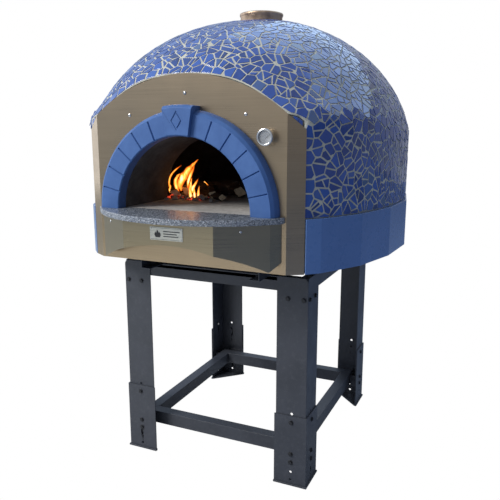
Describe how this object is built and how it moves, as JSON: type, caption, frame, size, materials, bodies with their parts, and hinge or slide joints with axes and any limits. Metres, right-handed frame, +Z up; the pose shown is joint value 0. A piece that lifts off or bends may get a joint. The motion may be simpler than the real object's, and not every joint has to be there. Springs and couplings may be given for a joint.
{
  "type": "pizza oven",
  "caption": "Wood fired pizza oven with a blue mosaic dome, blue arched mouth, brushed steel front, granite shelf and thermometer, on a height-adjustable steel stand.",
  "frame": {"origin": "floor level, at the centre of the oven's overall footprint", "axes": "+Z up; the mouth, the shelf and the thermometer face -Y; +X is to the right of someone facing the mouth"},
  "size_m": [1.406, 1.651, 2.025],
  "materials": {
    "stand_paint": "satin",
    "blue_paint": "gloss",
    "arch_paint": "matte",
    "front_sheet": "satin",
    "mosaic_tile": "gloss",
    "cement_render": "matte",
    "insulation": "matte",
    "refractory": "matte",
    "granite": "satin",
    "flue_steel": "satin",
    "bright_steel": "polished",
    "black_plastic": "satin",
    "dial_white": "matte",
    "clear_glass": "polished"
  },
  "bodies": {
    "stand_base": {"foot_plate_front_left": "stand_paint", "leg_sleeve_front_left": "stand_paint", "ring_bracket_front_left": "stand_paint", "foot_plate_front_right": "stand_paint", "leg_sleeve_front_right": "stand_paint", "ring_bracket_front_right": "stand_paint", "foot_plate_rear_left": "stand_paint", "leg_sleeve_rear_left": "stand_paint", "ring_bracket_rear_left": "stand_paint", "foot_plate_rear_right": "stand_paint", "leg_sleeve_rear_right": "stand_paint", "ring_bracket_rear_right": "stand_paint", "ring_tube_front": "stand_paint", "ring_tube_rear": "stand_paint", "ring_tube_left": "stand_paint", "ring_tube_right": "stand_paint"},
    "oven": {"upper_leg_front_left": "stand_paint", "upper_leg_front_right": "stand_paint", "upper_leg_rear_left": "stand_paint", "upper_leg_rear_right": "stand_paint", "top_rail_front": "stand_paint", "top_rail_rear": "stand_paint", "top_rail_left": "stand_paint", "top_rail_right": "stand_paint", "base_beam_left": "stand_paint", "base_beam_right": "stand_paint", "base_plate": "stand_paint", "skirt": "blue_paint", "arch_left": "arch_paint", "arch_right": "arch_paint", "keystone": "arch_paint", "front_panel": "front_sheet", "apron": "front_sheet", "mosaic_skin": "mosaic_tile", "cement_shell": "cement_render", "insulation_blanket": "insulation", "floor_insulation": "insulation", "refractory_dome": "refractory", "mouth_vault": "refractory", "mouth_slab": "refractory", "hearth_slab_front_left": "refractory", "hearth_slab_front_right": "refractory", "hearth_slab_rear_left": "refractory", "hearth_slab_rear_right": "refractory", "granite_shelf": "granite", "flue_duct": "flue_steel", "flue_collar": "flue_steel", "name_plate": "bright_steel", "front_screw_left": "bright_steel", "front_screw_top": "bright_steel", "front_screw_right": "bright_steel", "gauge_bezel": "bright_steel", "gauge_stem": "bright_steel", "gauge_case": "black_plastic", "gauge_dial": "dial_white", "gauge_glass": "clear_glass"},
    "needle": {"gauge_needle": "black_plastic"}
  },
  "joints": [
    {"name": "stand_height", "type": "slide", "parent": "stand_base", "child": "oven", "axis": [0, 0, 1], "range_m": [0, 0.074]},
    {"name": "gauge_needle_turn", "type": "hinge", "parent": "oven", "child": "needle", "pos_m": [0.337, -0.6204, 1.473], "axis": [0, 1, 0], "range_deg": [-189, 81]}
  ]
}
